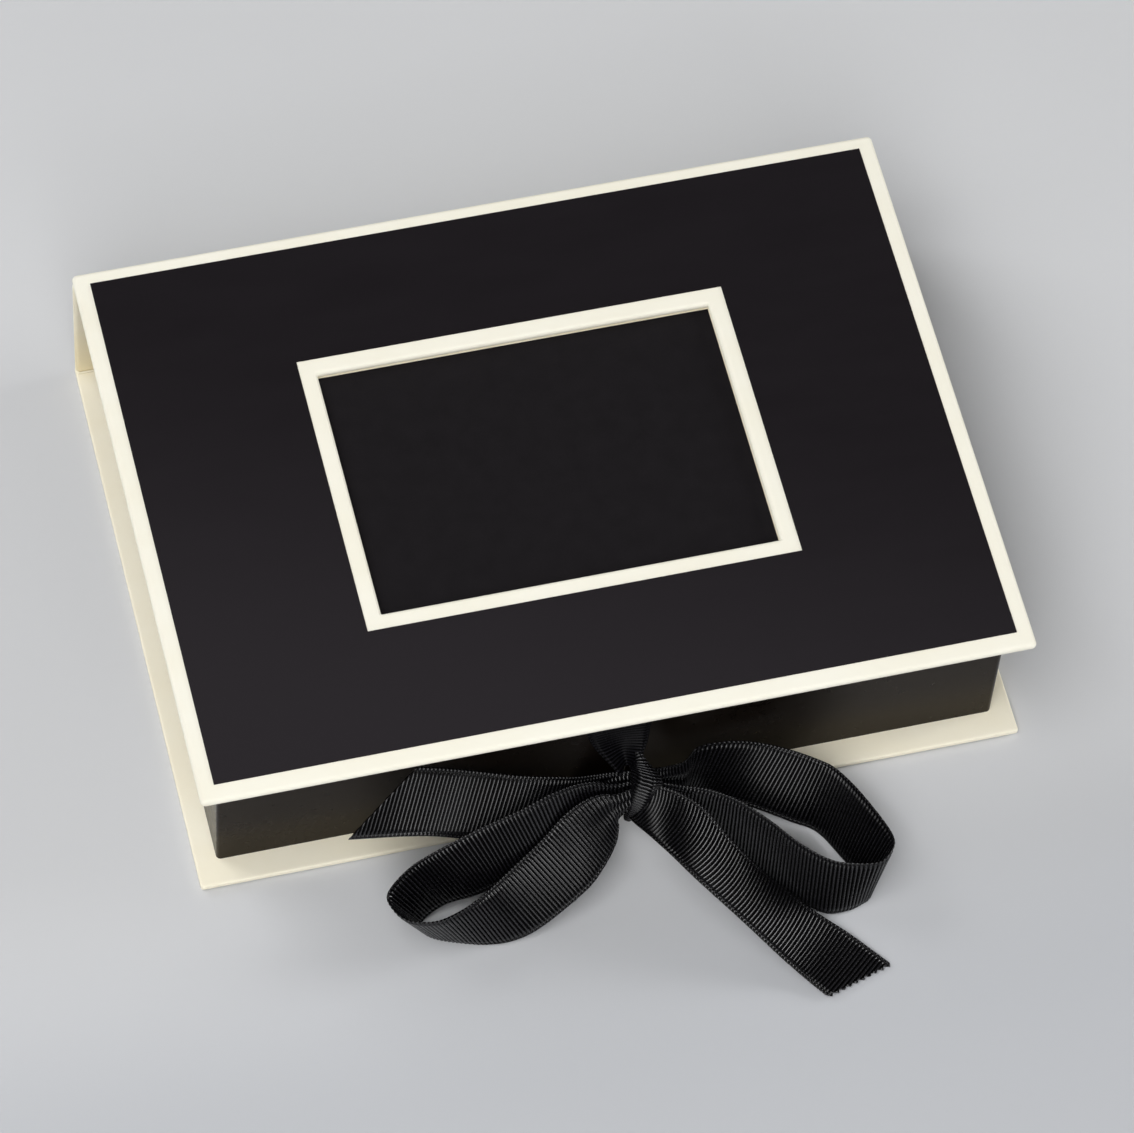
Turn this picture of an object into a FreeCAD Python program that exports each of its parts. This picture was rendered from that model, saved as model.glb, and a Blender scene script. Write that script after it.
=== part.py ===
"""A book-style gift box: a wrapped case with a hinged lid, a tray inside it and a ribbon bow in front.

Millimetres. X runs along the long side, Y goes back to the spine, Z is up.
The origin is on the table, under the middle of the case.
"""
import FreeCAD
import Part
import Sketcher
import os
import re
from FreeCAD import Vector

SIZES = {
    # case: lid, spine and base boards of one thickness, wrapped in pale paper
    "case_width": 265.0,
    "case_depth": 197.0,
    "board": 2.2,
    "paper": 0.25,
    "corner_round": 1.5,
    "edge_ease": 0.35,
    "end_round": 0.5,
    "turn_in": 15.0,
    "lining_margin": 2.0,
    # lid: dark panel, window and the pocket for the card behind it
    "lid_gap": 0.3,
    "border_side": 5.2,
    "border_front": 5.8,
    "border_back": 4.6,
    "window_width": 128.0,
    "window_depth": 90.0,
    "window_band": 5.6,
    "window_turn_in": 12.0,
    "card_width": 152.0,
    "card_depth": 102.0,
    "card_thick": 0.4,
    "card_play": 0.5,
    "card_clear": 0.3,
    "pocket_strip": 8.0,
    "pocket_sheet": 0.5,
    "thumb_notch": 12.0,
    # tray: four walls and a floor, taped at the corners and wrapped
    "tray_height": 50.25,
    "tray_board": 2.0,
    "tray_inset_side": 6.8,
    "tray_inset_front": 8.7,
    "stay": 0.15,
    "stay_leg": 20.0,
    "turn_over": 20.0,
    "lining_drop": 6.0,
    # ribbon, and the gap between its ends and the knot that gathers it
    "ribbon_width": 22.0,
    "ribbon_thick": 0.6,
    "knot_clear": 0.5,
}

TINY = 1e-4

doc = FreeCAD.newDocument("gift_box")
sheet = doc.addObject("Spreadsheet::Sheet", "Sizes")
for row, (alias, number) in enumerate(SIZES.items(), start=1):
    sheet.set(f"A{row}", alias)
    sheet.set(f"B{row}", str(number))
    sheet.setAlias(f"B{row}", alias)
doc.recompute()


def cell(alias):
    """The number in a cell of the sheet."""
    return float(sheet.get(alias))


def formula(text):
    """An expression for setExpression: each word that is an alias points at its cell."""
    return re.sub(r"[a-z_]+", lambda word: f"Sizes.{word[0]}" if word[0] in SIZES else word[0], text)


def bind(target, **texts):
    """Tie properties of an object to formulas; place_x, place_y and place_z set its position."""
    for name, text in texts.items():
        path = name.replace("place_", "Placement.Base.")
        target.setExpression(path, formula(text))


# Levels and lines that several pieces share, as formulas of the driving sizes
SKIN = "(board + 2 * paper)"
LINED = "(board + 3 * paper)"
RIM = f"({LINED} + tray_height)"
LID_BOTTOM = f"({RIM} + lid_gap)"
LID_TURN = f"({LID_BOTTOM} + paper)"
LID_BOARD = f"({LID_TURN} + paper)"
PANEL = f"({LID_TURN} + {SKIN})"
WINDOW_Y = "((border_front - border_back) / 2)"
TRAY_WIDTH = "(case_width - 2 * tray_inset_side)"
TRAY_DEPTH = f"(case_depth - tray_inset_front - {LINED})"
TRAY_Y = f"((tray_inset_front - {LINED}) / 2)"
WALL = "(paper + stay)"
BOX_WIDTH = f"({TRAY_WIDTH} - 2 * {WALL})"
BOX_DEPTH = f"({TRAY_DEPTH} - 2 * {WALL})"
BORE_WIDTH = f"({BOX_WIDTH} - 2 * tray_board)"
BORE_DEPTH = f"({BOX_DEPTH} - 2 * tray_board)"
WALL_FOOT = f"({LINED} + paper)"
WALL_HEIGHT = "(tray_height - 2 * paper)"
FLOOR_TOP = f"({WALL_FOOT} + tray_board)"
POCKET_DEEP = "(card_thick + 2 * card_clear)"
POCKET_TOP = LID_BOTTOM


def rectangle(sketch, name, width, depth, x="0", y="0"):
    """Draw a rectangle with its middle at x, y; its four dimensions are named and bound."""
    first = sketch.GeometryCount
    corners = [Vector(-20, -10, 0), Vector(20, -10, 0), Vector(20, 10, 0), Vector(-20, 10, 0)]
    for side in range(4):
        sketch.addGeometry(Part.LineSegment(corners[side], corners[(side + 1) % 4]), False)
    for side in range(4):
        following = first + (side + 1) % 4
        sketch.addConstraint(Sketcher.Constraint("Coincident", first + side, 2, following, 1))
        level = "Horizontal" if side % 2 == 0 else "Vertical"
        sketch.addConstraint(Sketcher.Constraint(level, first + side))
    dimensions = (
        ("left", Sketcher.Constraint("DistanceX", -1, 1, first, 1, -20), f"{x} - {width} / 2"),
        ("front", Sketcher.Constraint("DistanceY", -1, 1, first, 1, -10), f"{y} - {depth} / 2"),
        ("width", Sketcher.Constraint("DistanceX", first, 1, first, 2, 40), width),
        ("depth", Sketcher.Constraint("DistanceY", first + 1, 1, first + 1, 2, 20), depth),
    )
    for word, constraint, text in dimensions:
        index = sketch.addConstraint(constraint)
        sketch.renameConstraint(index, f"{name}_{word}")
        sketch.setExpression(f"Constraints.{name}_{word}", formula(text))


def corner_edges(shape, ends):
    """Names of a plate's upright edges at its outer corners: at the front, at the back or both."""
    box = shape.BoundBox
    names = []
    for number, edge in enumerate(shape.Edges, start=1):
        middle = edge.CenterOfMass
        upright = abs(edge.tangentAt(edge.FirstParameter).z) > 1 - TINY
        at_side = min(middle.x - box.XMin, box.XMax - middle.x) < TINY
        at_front = "front" in ends and middle.y - box.YMin < TINY
        at_back = "back" in ends and box.YMax - middle.y < TINY
        if upright and at_side and (at_front or at_back):
            names.append(f"Edge{number}")
    return names


def rim_edges(shape):
    """Names of the edges round the top and the bottom of a plate."""
    box = shape.BoundBox
    names = []
    for number, edge in enumerate(shape.Edges, start=1):
        if edge.BoundBox.ZLength < TINY:
            level = edge.CenterOfMass.z
            if min(level - box.ZMin, box.ZMax - level) < TINY:
                names.append(f"Edge{number}")
    return names


def rounded(body, base, name, edges, radius):
    """Round some edges of a body's last feature."""
    fillet = body.newObject("PartDesign::Fillet", name)
    fillet.Base = (base, edges)
    bind(fillet, Radius=radius)
    doc.recompute()
    return fillet


def eased(body, base, name, edges, size):
    """Break some edges of a body's last feature with a small chamfer."""
    chamfer = body.newObject("PartDesign::Chamfer", name)
    chamfer.Base = (base, edges)
    bind(chamfer, Size=size)
    doc.recompute()
    return chamfer


def plate(name, width, depth, height, y="0", z="0", window=None, radius=None, ends=("front", "back"), edge=None):
    """A sheet or board lying flat, centred on x = 0 and on y, standing on z.

    window is (width, depth, y) of an opening; radius rounds the corners and edge eases both rims.
    """
    body = doc.addObject("PartDesign::Body", name)
    sketch = body.newObject("Sketcher::SketchObject", f"{name}_outline")
    flat = next(item for item in body.Origin.OriginFeatures if item.Role == "XY_Plane")
    sketch.AttachmentSupport = (flat, [""])
    sketch.MapMode = "FlatFace"
    rectangle(sketch, "outer", width, depth)
    if window:
        rectangle(sketch, "window", window[0], window[1], y=f"{window[2]} - {y}")
    pad = body.newObject("PartDesign::Pad", f"{name}_pad")
    pad.Profile = sketch
    bind(pad, Length=height)
    bind(body, place_y=y, place_z=z)
    doc.recompute()
    last = pad
    if radius:
        last = rounded(body, last, f"{name}_corners", corner_edges(last.Shape, ends), radius)
    if edge:
        last = eased(body, last, f"{name}_rims", rim_edges(last.Shape), edge)
    body.Tip = last
    return body


def block(name, width, depth, height, x, y, z):
    """A plain box from its low corner x, y, z."""
    box = doc.addObject("Part::Box", name)
    bind(box, Length=width, Width=depth, Height=height, place_x=x, place_y=y, place_z=z)
    return box


def joined(name, pieces):
    """Several solids taken as one tool."""
    group = doc.addObject("Part::MultiFuse", name)
    group.Shapes = pieces
    return group


def cut(name, base, tools):
    """A solid less one or more others."""
    result = doc.addObject("Part::Cut", name)
    result.Base = base
    result.Tool = tools[0] if len(tools) == 1 else joined(f"{name}_tools", tools)
    return result


def lid_pieces():
    """Windowed board, its paper wrap with the edges turned in, dark panel and lining."""
    opening = ("window_width", "window_depth", WINDOW_Y)
    lined = ("(window_width + 2 * paper)", "(window_depth + 2 * paper)", WINDOW_Y)
    banded = ("(window_width + 2 * window_band)", "(window_depth + 2 * window_band)", WINDOW_Y)
    flaps = ("(window_width + 2 * window_turn_in)", "(window_depth + 2 * window_turn_in)", WINDOW_Y)
    inner = "(corner_round - paper)"
    board = plate("lid_board", "(case_width - 2 * paper)", "(case_depth - 2 * paper)", "board",
                  z=LID_BOARD, window=lined, radius=inner)
    skin = plate("lid_skin", "case_width", "case_depth", SKIN, z=LID_TURN, radius="corner_round",
                 edge="edge_ease")
    bare = plate("lid_bare", "(case_width - 2 * turn_in)", "(case_depth - 2 * turn_in)", "paper",
                 z=LID_TURN, window=flaps)
    hole = plate("lid_hole", *opening[:2], SKIN, y=WINDOW_Y, z=LID_TURN)
    wrap = cut("lid_wrap", skin, [board, bare, hole])
    panel = plate("lid_panel", "(case_width - 2 * border_side)", "(case_depth - border_front - border_back)",
                  "paper", y=WINDOW_Y, z=PANEL, window=banded)
    lining = plate("lid_lining", "(case_width - 2 * lining_margin)", "(case_depth - 2 * lining_margin)",
                   "paper", z=LID_BOTTOM, window=opening)
    return [board, wrap, panel, lining]


def pocket_pieces():
    """Pocket under the lid, open to the right, and the card that slides in it behind the window."""
    reach = "(card_width / 2 + card_play + pocket_strip)"
    channel = "(card_depth + 2 * card_play)"
    width = f"(2 * {reach})"
    depth = f"({channel} + 2 * pocket_strip)"
    strip = block("pocket_strips", width, depth, POCKET_DEEP, f"-{reach}", f"{WINDOW_Y} - {depth} / 2",
                  f"{POCKET_TOP} - {POCKET_DEEP}")
    slot = block("pocket_slot", width, channel, POCKET_DEEP, f"pocket_strip - {reach}",
                 f"{WINDOW_Y} - {channel} / 2", f"{POCKET_TOP} - {POCKET_DEEP}")
    spacer = cut("pocket_spacer", strip, [slot])
    back_level = f"{POCKET_TOP} - {POCKET_DEEP} - pocket_sheet"
    sheet_back = block("pocket_sheet_plain", width, depth, "pocket_sheet", f"-{reach}",
                       f"{WINDOW_Y} - {depth} / 2", back_level)
    thumb = doc.addObject("Part::Cylinder", "pocket_thumb")
    bind(thumb, Radius="thumb_notch", Height="pocket_sheet", place_x=reach, place_y=WINDOW_Y,
         place_z=back_level)
    back = cut("pocket_back", sheet_back, [thumb])
    card = plate("photo_card", "card_width", "card_depth", "card_thick", y=WINDOW_Y,
                 z=f"{POCKET_TOP} - card_clear - card_thick")
    return [spacer, back, card]


def base_pieces():
    """Base board, its wrap with the edges turned in on top, and the lining that the tray is glued to."""
    board = plate("base_board", "(case_width - 2 * paper)", "(case_depth - 2 * paper)", "board",
                  z="paper", radius="(corner_round - paper)")
    skin = plate("base_skin", "case_width", "case_depth", SKIN, radius="corner_round", edge="edge_ease")
    bare = block("base_bare", "case_width - 2 * turn_in", "case_depth - turn_in - paper", "paper",
                 "turn_in - case_width / 2", "turn_in - case_depth / 2", "paper + board")
    wrap = cut("base_wrap", skin, [board, bare])
    lining = plate("base_lining", "(case_width - 2 * lining_margin)", "(case_depth - lining_margin - paper)",
                   "paper", y="((lining_margin - paper) / 2)", z=SKIN)
    return [board, wrap, lining]


def spine_pieces():
    """Spine standing on the back of the base: board, wrap round its ends, lining towards the tray."""
    height = f"({RIM} - {LINED})"
    board = block("spine_board", "case_width - 2 * paper", "board", height, "paper - case_width / 2",
                  "case_depth / 2 - paper - board", LINED)
    skin = plate("spine_skin", "case_width", SKIN, height, y=f"(case_depth / 2 - {SKIN} / 2)", z=LINED,
                 radius="end_round")
    bare = block("spine_bare", "case_width - 2 * turn_in", "paper", height, "turn_in - case_width / 2",
                 f"case_depth / 2 - {SKIN}", LINED)
    wrap = cut("spine_wrap", skin, [board, bare])
    lining = block("spine_lining", "case_width - 2 * lining_margin", "paper", height,
                   "lining_margin - case_width / 2", f"case_depth / 2 - {LINED}", LINED)
    return [board, wrap, lining]


def tray_boards():
    """Floor and four walls: the front and back walls run the full width, the sides fit between them."""
    floor = plate("tray_floor", BORE_WIDTH, BORE_DEPTH, "tray_board", y=TRAY_Y, z=WALL_FOOT)
    inner = "(corner_round - paper)"
    middle = f"({BOX_DEPTH} - tray_board) / 2"
    front = plate("tray_front_wall", BOX_WIDTH, "tray_board", WALL_HEIGHT, y=f"({TRAY_Y} - {middle})",
                  z=WALL_FOOT, radius=inner, ends=("front",))
    back = plate("tray_back_wall", BOX_WIDTH, "tray_board", WALL_HEIGHT, y=f"({TRAY_Y} + {middle})",
                 z=WALL_FOOT, radius=inner, ends=("back",))
    walls = [floor, front, back]
    for name, x in (("tray_left_wall", f"-{BOX_WIDTH} / 2"), ("tray_right_wall", f"{BORE_WIDTH} / 2")):
        walls.append(block(name, "tray_board", BORE_DEPTH, WALL_HEIGHT, x, f"{TRAY_Y} - {BORE_DEPTH} / 2",
                           WALL_FOOT))
    return walls


def tray_stays():
    """Four paper corner stays between the wall boards and the wrap."""
    inner = "(corner_round - paper)"
    outside = plate("stay_outside", f"({BOX_WIDTH} + 2 * stay)", f"({BOX_DEPTH} + 2 * stay)", WALL_HEIGHT,
                    y=TRAY_Y, z=WALL_FOOT, radius=inner)
    inside = plate("stay_inside", BOX_WIDTH, BOX_DEPTH, WALL_HEIGHT, y=TRAY_Y, z=WALL_FOOT,
                   radius="(corner_round - paper - stay)")
    sleeve = cut("stay_sleeve", outside, [inside])
    corners = []
    for side, x in (("left", f"-{BOX_WIDTH} / 2 - stay"), ("right", f"{BOX_WIDTH} / 2 + stay - stay_leg")):
        for end, y in (("front", f"{TRAY_Y} - {BOX_DEPTH} / 2 - stay"),
                       ("back", f"{TRAY_Y} + {BOX_DEPTH} / 2 + stay - stay_leg")):
            corners.append(block(f"stay_{side}_{end}", "stay_leg", "stay_leg", WALL_HEIGHT, x, y, WALL_FOOT))
    stays = doc.addObject("Part::Common", "corner_stays")
    stays.Base = sleeve
    stays.Tool = joined("stay_corners", corners)
    return stays


def tray_papers():
    """Outer wrap, turned under the floor and over the rim, and the linings of the walls and the floor."""
    skin = plate("tray_skin", TRAY_WIDTH, TRAY_DEPTH, "tray_height", y=TRAY_Y, z=LINED, radius="corner_round")
    walls = plate("tray_wall_space", f"({TRAY_WIDTH} - 2 * paper)", f"({TRAY_DEPTH} - 2 * paper)", WALL_HEIGHT,
                  y=TRAY_Y, z=WALL_FOOT, radius="(corner_round - paper)")
    clear_width = f"({BORE_WIDTH} - 2 * paper)"
    clear_depth = f"({BORE_DEPTH} - 2 * paper)"
    mouth = plate("tray_mouth", clear_width, clear_depth, "paper", y=TRAY_Y, z=f"({RIM} - paper)")
    under = plate("tray_under", f"({TRAY_WIDTH} - 2 * turn_in)", f"({TRAY_DEPTH} - 2 * turn_in)", "paper",
                  y=TRAY_Y, z=LINED)
    outside = cut("tray_wrap_outside", skin, [walls, mouth, under])
    inside = plate("tray_wrap_inside", BORE_WIDTH, BORE_DEPTH, "(turn_over - paper)", y=TRAY_Y,
                   z=f"({RIM} - turn_over)", window=(clear_width, clear_depth, TRAY_Y))
    wrap = doc.addObject("Part::Fuse", "tray_wrap")
    wrap.Base = outside
    wrap.Tool = inside
    lined = (f"({clear_width} - 2 * paper)", f"({clear_depth} - 2 * paper)", TRAY_Y)
    lining = plate("tray_lining", clear_width, clear_depth, f"({RIM} - lining_drop - {FLOOR_TOP})", y=TRAY_Y,
                   z=FLOOR_TOP, window=lined)
    floor = plate("tray_floor_lining", *lined[:2], "paper", y=TRAY_Y, z=FLOOR_TOP)
    return [wrap, lining, floor]


# Ribs of the tied ribbon: the upper and the lower end of a line across it, for a ribbon 22 wide.
# Here y is measured back from the front edge of the base, and z from the table.
# The knot is given as level rings, because it is the one place where the ribbon is a solid bundle.
RIB_WIDTH = 22.0
STEPS = 2
LEFT_LOOP = [
    ((-2.1, -4.5, 27.5), (-2.1, -6.5, 19)),
    ((-11, -4.5, 32), (-8.5, -9.5, 18.5)),
    ((-21.5, -7, 35), (-17, -15, 17)),
    ((-34.5, -10.5, 33.5), (-27.5, -20, 15)),
    ((-47.5, -12.5, 30.5), (-39.5, -23, 13)),
    ((-60.5, -14.5, 26), (-49.5, -24, 9.5)),
    ((-70.5, -17, 22.5), (-60, -22.5, 4)),
    ((-78.5, -22.5, 20), (-67.5, -25, 1)),
    ((-79, -28, 20.5), (-68, -29, 1.5)),
    ((-75, -34, 21), (-65, -32, 1)),
    ((-67, -36.5, 21.5), (-58, -35, 1)),
    ((-58.5, -34, 20.5), (-49.5, -37.5, 1)),
    ((-51, -30, 19.5), (-41, -38, 1.5)),
    ((-43.5, -25, 19), (-32, -36.5, 4.5)),
    ((-29, -17, 23.5), (-17, -30.5, 11)),
    ((-21.5, -13, 28.5), (-10, -25, 14)),
    ((-14.5, -9.5, 29.5), (-5, -19, 15.5)),
    ((-8, -7.7, 28.5), (-3.2, -15, 18)),
    ((-2.3, -7.5, 26.5), (-2.1, -11.7, 18.5)),
]
RIGHT_LOOP = [
    ((9.7, -2, 27.5), (7.3, -4.5, 19)),
    ((20.5, -0.5, 25.5), (20, -3.5, 10.5)),
    ((27.5, 4.5, 24.5), (22.5, -1.5, 6)),
    ((40.5, 5, 22), (29.5, -3.5, 5)),
    ((53, 2.5, 18), (40, -8.5, 4.5)),
    ((64.5, -4, 16.5), (53, -16, 2)),
    ((69.5, -10, 17.5), (60.5, -21, 1)),
    ((74.5, -22, 19.5), (65.5, -31.5, 1.5)),
    ((79, -36.5, 20.5), (70, -42, 1.5)),
    ((77, -42.5, 21.5), (70, -47, 1)),
    ((72, -46, 22.5), (68, -48.5, 1)),
    ((64.5, -45, 22.5), (62.5, -50, 1)),
    ((57.5, -41.5, 21.5), (55, -49, 1)),
    ((49.5, -34, 22), (47, -42, 1.5)),
    ((42.5, -25, 23), (39.5, -33, 2.5)),
    ((34.5, -17, 24.5), (32, -24.5, 4)),
    ((26.5, -11.5, 25), (23, -16, 8)),
    ((19, -7.5, 23.5), (16.5, -9.5, 13)),
    ((9.7, -5.8, 26.5), (7.2, -8, 18)),
]
LEFT_TAIL = [
    ((-2, -0.5, 28), (-2.1, -2.5, 20)),
    ((-12.5, -0.5, 29), (-17, -10, 14.5)),
    ((-19, 0.5, 29.5), (-27.5, -12.5, 14)),
    ((-31, 3, 30.5), (-40.5, -12, 17.5)),
    ((-43, 6, 32.5), (-52.5, -9.5, 20.5)),
    ((-56, 7.3, 37.5), (-65.5, -8.5, 25.5)),
    ((-64, 7.3, 40.5), (-87, -4, 23.5)),
]
RIGHT_TAIL = [
    ((9.2, -8, 26.8), (4.7, -11.3, 15.5)),
    ((17, -11, 26.5), (7.5, -24.5, 23)),
    ((23.5, -17.5, 24.5), (11, -33.5, 26)),
    ((29.5, -27, 19), (15.5, -42, 25)),
    ((39.5, -38, 11.5), (26, -54, 17)),
    ((51, -49, 5), (36.5, -65, 8.5)),
    ((61, -58.5, 2.1), (45.5, -74, 2.8)),
    ((71.5, -71.5, 0.9), (49.5, -77.5, 0.9)),
]
KNOT = [
    # level, left, right, front, back
    (34.3, 2.9, 5.4, -4.5, 0.5),
    (32, 0.8, 8.2, -8, 2.5),
    (28, -0.9, 9, -10.3, 3),
    (21, -1.5, 6.8, -11, 2),
    (15, -1.5, 4.2, -10.2, -0.5),
    (11.5, -0.6, 2.2, -8.5, -3.5),
]


def level(text_sizes):
    """Sum of sizes given as (count, alias) pairs, read from the sheet."""
    return sum(count * cell(alias) for count, alias in text_sizes)


def between(before, start, end, after, share):
    """A point on the smooth curve that passes through four points, between the middle two."""
    rise = (end - before) * share
    bend = (before * 2 - start * 5 + end * 4 - after) * share ** 2
    turn = (start * 3 - before - end * 3 + after) * share ** 3
    return start + (rise + bend + turn) * 0.5


def smoothed(points):
    """The points of one edge of a ribbon, with as many more between them as STEPS asks for."""
    last = len(points) - 1
    dense = []
    for place in range(last):
        four = [points[min(max(place + shift, 0), last)] for shift in (-1, 0, 1, 2)]
        dense += [between(*four, step / STEPS) for step in range(STEPS)]
    return dense + points[-1:]


def band(ribs):
    """A ribbon lofted through its ribs, each a flat section square to the way the ribbon runs."""
    stretch = cell("ribbon_width") / RIB_WIDTH
    half_thick = cell("ribbon_thick") / 2
    uppers = smoothed([Vector(*upper) for upper, lower in ribs])
    lowers = smoothed([Vector(*lower) for upper, lower in ribs])
    middles = [(upper + lower) * 0.5 for upper, lower in zip(uppers, lowers)]
    sections = []
    for place, middle in enumerate(middles):
        ahead = middles[min(place + 1, len(middles) - 1)] - middles[max(place - 1, 0)]
        half = (lowers[place] - uppers[place]) * (0.5 * stretch)
        side = ahead.cross(half).normalize() * half_thick
        outline = [middle + half * across + side * out
                   for across, out in ((-1, 1), (1, 1), (1, -1), (-1, -1))]
        sections.append(Part.makePolygon(outline + outline[:1]))
    return Part.makeLoft(sections, True, True)


def knot_ring(level, left, right, front, back):
    """A rectangle round the knot at one level, with its corners cut off."""
    corner = 0.3 * min(right - left, back - front)
    outline = []
    for x, way_x, y, way_y in ((right, -1, back, -1), (left, 1, back, -1), (left, 1, front, 1), (right, -1, front, 1)):
        ends = [Vector(x, y + way_y * corner, level), Vector(x + way_x * corner, y, level)]
        outline += ends if way_x == way_y else ends[::-1]
    return Part.makePolygon(outline + outline[:1])


def knot_solid():
    """The pulled-tight wrap: it leans to the left as it goes down and is pinched at both ends."""
    return Part.makeLoft([knot_ring(*ring) for ring in KNOT], True, True)


def soft_piece(name, shape, place):
    """A ribbon piece with a computed shape, set at its place on the box."""
    piece = doc.addObject("Part::Feature", name)
    piece.Shape = shape
    piece.Placement = FreeCAD.Placement(place, FreeCAD.Rotation())
    return piece


def strand(rows, foot, top, foot_y, top_y):
    """Ribs of a strand between two levels: each row gives how far up it is and its two edges.

    The edges are shares of half the ribbon's width, and the strand leans from foot_y to top_y.
    """
    half_width = RIB_WIDTH / 2
    ribs = []
    for share, left, right in rows:
        y = foot_y + (top_y - foot_y) * share
        z = foot + (top - foot) * share
        ribs.append(((left * half_width, y, z), (right * half_width, y, z)))
    return ribs


def bow_pieces():
    """Knot, two loops and two tails, with the strands that come to the knot from the lid and the base."""
    front = Vector(0, -cell("case_depth") / 2, 0)
    inset = cell("tray_inset_front")
    lid_level = level(((1, "board"), (3, "paper"), (1, "tray_height")))
    base_level = level(((1, "board"), (3, "paper"), (1, "ribbon_thick")))
    knot_top = KNOT[0][0] + cell("knot_clear")
    knot_foot = KNOT[-1][0] - cell("knot_clear")
    lid_rows = ((1.0, -1.05, 0.95), (0.65, -0.96, 0.87), (0.3, -0.65, 0.8), (0.0, -0.1, 0.6))
    base_rows = ((0.0, -1.0, 1.0), (0.3, -0.9, 1.0), (1.0, -0.1, 0.35))
    bands = (
        ("lid_ribbon", strand(lid_rows, knot_top, lid_level, -2.5, 0.4 * inset)),
        ("base_ribbon", strand(base_rows, base_level, knot_foot, inset - cell("knot_clear"), -6)),
        ("bow_loop_left", LEFT_LOOP), ("bow_loop_right", RIGHT_LOOP),
        ("bow_tail_left", LEFT_TAIL), ("bow_tail_right", RIGHT_TAIL),
    )
    pieces = [soft_piece("bow_knot", knot_solid(), front)]
    for name, ribs in bands:
        pieces.append(soft_piece(name, band(ribs), front))
    return pieces


nodes = lid_pieces() + pocket_pieces() + base_pieces() + spine_pieces()
nodes += tray_boards() + [tray_stays()] + tray_papers() + bow_pieces()
doc.recompute()

for item in doc.Objects:
    if "Invalid" in item.State or "Error" in item.State:
        raise RuntimeError(f"{item.Name} did not build: {item.State}")
os.makedirs("parts", exist_ok=True)
for node in nodes:
    node.Label = node.Name
    if node.Shape.isNull() or not node.Shape.isValid():
        raise RuntimeError(f"{node.Label} has no valid solid")
    node.Shape.exportStep(f"parts/{node.Label}.step")
    print(f"{node.Label}: {len(node.Shape.Solids)} solid(s), {node.Shape.Volume:.1f} mm3")
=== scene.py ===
# %% [markdown]
# # A book-style gift box tied with a grosgrain bow
# The box is a case of three paper-wrapped boards, like the cover of a book, with a black tray inside.
# A window in the lid shows a card, and a ribbon from the lid and one from the base meet in a bow.
# The solids are loaded first and stay where they are. Paper edges and the ribbon, which solids show
# only roughly, are then drawn over them as surfaces, and every piece gets a finish of its own.

# %% Load the solids
import math

import bmesh
import bpy
import numpy as np
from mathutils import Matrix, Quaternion, Vector


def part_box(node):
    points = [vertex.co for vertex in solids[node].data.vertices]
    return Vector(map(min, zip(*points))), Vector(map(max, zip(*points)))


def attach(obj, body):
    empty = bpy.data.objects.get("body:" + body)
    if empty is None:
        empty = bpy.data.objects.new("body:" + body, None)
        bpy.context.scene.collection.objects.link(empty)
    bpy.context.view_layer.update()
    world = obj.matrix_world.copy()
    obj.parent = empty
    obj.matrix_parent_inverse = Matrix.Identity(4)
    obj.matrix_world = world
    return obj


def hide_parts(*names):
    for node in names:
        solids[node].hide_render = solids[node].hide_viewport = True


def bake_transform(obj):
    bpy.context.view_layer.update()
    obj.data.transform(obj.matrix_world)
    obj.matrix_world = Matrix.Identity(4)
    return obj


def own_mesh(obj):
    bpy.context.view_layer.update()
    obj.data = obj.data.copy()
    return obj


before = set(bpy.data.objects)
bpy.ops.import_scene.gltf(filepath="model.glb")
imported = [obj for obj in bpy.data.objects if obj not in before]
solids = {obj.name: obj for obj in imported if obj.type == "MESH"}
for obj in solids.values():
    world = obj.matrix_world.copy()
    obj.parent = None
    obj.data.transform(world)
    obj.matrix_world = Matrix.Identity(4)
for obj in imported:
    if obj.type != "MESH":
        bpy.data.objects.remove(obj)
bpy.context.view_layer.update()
MM = 0.001

# %% [markdown]
# ## Camera
# The box was seen from above its front left corner through a long lens, so its edges hardly converge.
# The camera is set by where it stands, the point that it aims at, and how far it leans to one side.

# %% Camera
CAMERA_PLACE = Vector((-0.3214, -0.9838, 1.7000))
CAMERA_AIM = Vector((-0.0025, -0.0364, 0.0500))
CAMERA_LEAN = 5.53
CAMERA_LENS = 196.1

lens = bpy.data.cameras.new("camera")
lens.sensor_width = 36.0
lens.lens = CAMERA_LENS
camera = bpy.data.objects.new("camera", lens)
bpy.context.scene.collection.objects.link(camera)
camera.location = CAMERA_PLACE
camera.rotation_mode = "QUATERNION"
level_view = (CAMERA_AIM - CAMERA_PLACE).to_track_quat("-Z", "Y")
camera.rotation_quaternion = level_view @ Quaternion((0, 0, 1), math.radians(CAMERA_LEAN))
bpy.context.scene.camera = camera
bpy.context.scene.view_settings.view_transform = "Standard"
print("camera stands", round((CAMERA_AIM - CAMERA_PLACE).length, 2), "m from the box")

# %% [markdown]
# ## Helpers for finishes
# Colours are written as screen values, the way a paint chart gives them, and shaders need linear light,
# so one function converts them. Another adds a node, sets it and links it, which keeps each finish below
# readable as a list of what is in it. Two more start an empty material and let one tone pass into another.

# %% Helpers for finishes
def colour(code):
    """A hex screen colour as linear light: a straight part near black, a power of 2.4 above it."""
    part = np.array([int(code[place:place + 2], 16) for place in (1, 3, 5)]) / 255
    light = np.where(part <= 0.04045, part / 12.92, ((part + 0.055) / 1.055) ** 2.4)
    return (*light.tolist(), 1.0)


def add(tree, kind, inputs=None, **settings):
    """Adds a node: settings are its own fields, and an input is a plain value or another node's output."""
    node = tree.nodes.new(kind)
    for name, value in settings.items():
        setattr(node, name, value)
    for socket, value in (inputs or {}).items():
        if isinstance(value, bpy.types.NodeSocket):
            tree.links.new(value, node.inputs[socket])
        else:
            node.inputs[socket].default_value = value
    return node


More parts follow.
